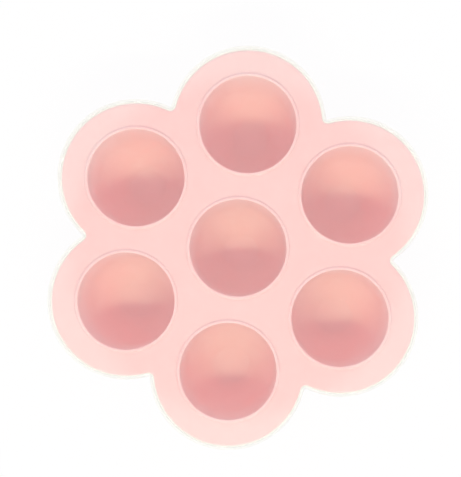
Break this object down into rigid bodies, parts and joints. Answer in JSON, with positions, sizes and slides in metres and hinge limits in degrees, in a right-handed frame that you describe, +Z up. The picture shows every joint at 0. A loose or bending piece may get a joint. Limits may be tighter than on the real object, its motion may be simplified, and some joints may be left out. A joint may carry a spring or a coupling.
{
  "type": "baby food freezer tray",
  "caption": "Flower-shaped silicone tray with a ring of round portion cups about a centre cup, under a clear clip-on lid; the cup floors push up to release the food.",
  "frame": {"origin": "on the surface that the tray stands on, under the middle of the centre cup", "axes": "+Z up along the axis of the flower and out of the cups' mouths; +Y through the middle of cup_1; the other outer cups follow clockwise, seen from above"},
  "size_m": [0.1916, 0.2088, 0.0438],
  "materials": {
    "silicone_pink": "satin moulded silicone",
    "lid_clear": "clear moulded polypropylene"
  },
  "bodies": {
    "tray": {"tray_deck": "silicone_pink", "cup_centre": "silicone_pink", "cup_1": "silicone_pink", "cup_2": "silicone_pink", "cup_3": "silicone_pink", "cup_4": "silicone_pink", "cup_5": "silicone_pink", "cup_6": "silicone_pink"},
    "cup_floor_centre": {"cup_floor_centre": "silicone_pink"},
    "cup_floor_1": {"cup_floor_1": "silicone_pink"},
    "cup_floor_2": {"cup_floor_2": "silicone_pink"},
    "cup_floor_3": {"cup_floor_3": "silicone_pink"},
    "cup_floor_4": {"cup_floor_4": "silicone_pink"},
    "cup_floor_5": {"cup_floor_5": "silicone_pink"},
    "cup_floor_6": {"cup_floor_6": "silicone_pink"},
    "lid": {"lid_panel": "lid_clear", "lid_skirt": "lid_clear"}
  },
  "joints": [
    {"name": "lid_lift", "type": "slide", "parent": "tray", "child": "lid", "axis": [0, 0, 1], "range_m": [0, 0.06]},
    {"name": "floor_push_centre", "type": "slide", "parent": "tray", "child": "cup_floor_centre", "axis": [0, 0, 1], "range_m": [0, 0.01], "stiffness_N_per_m": 500, "springref_m": -0.001},
    {"name": "floor_push_1", "type": "slide", "parent": "tray", "child": "cup_floor_1", "axis": [0, 0, 1], "range_m": [0, 0.01], "stiffness_N_per_m": 500, "springref_m": -0.001},
    {"name": "floor_push_2", "type": "slide", "parent": "tray", "child": "cup_floor_2", "axis": [0, 0, 1], "range_m": [0, 0.01], "stiffness_N_per_m": 500, "springref_m": -0.001},
    {"name": "floor_push_3", "type": "slide", "parent": "tray", "child": "cup_floor_3", "axis": [0, 0, 1], "range_m": [0, 0.01], "stiffness_N_per_m": 500, "springref_m": -0.001},
    {"name": "floor_push_4", "type": "slide", "parent": "tray", "child": "cup_floor_4", "axis": [0, 0, 1], "range_m": [0, 0.01], "stiffness_N_per_m": 500, "springref_m": -0.001},
    {"name": "floor_push_5", "type": "slide", "parent": "tray", "child": "cup_floor_5", "axis": [0, 0, 1], "range_m": [0, 0.01], "stiffness_N_per_m": 500, "springref_m": -0.001},
    {"name": "floor_push_6", "type": "slide", "parent": "tray", "child": "cup_floor_6", "axis": [0, 0, 1], "range_m": [0, 0.01], "stiffness_N_per_m": 500, "springref_m": -0.001}
  ]
}
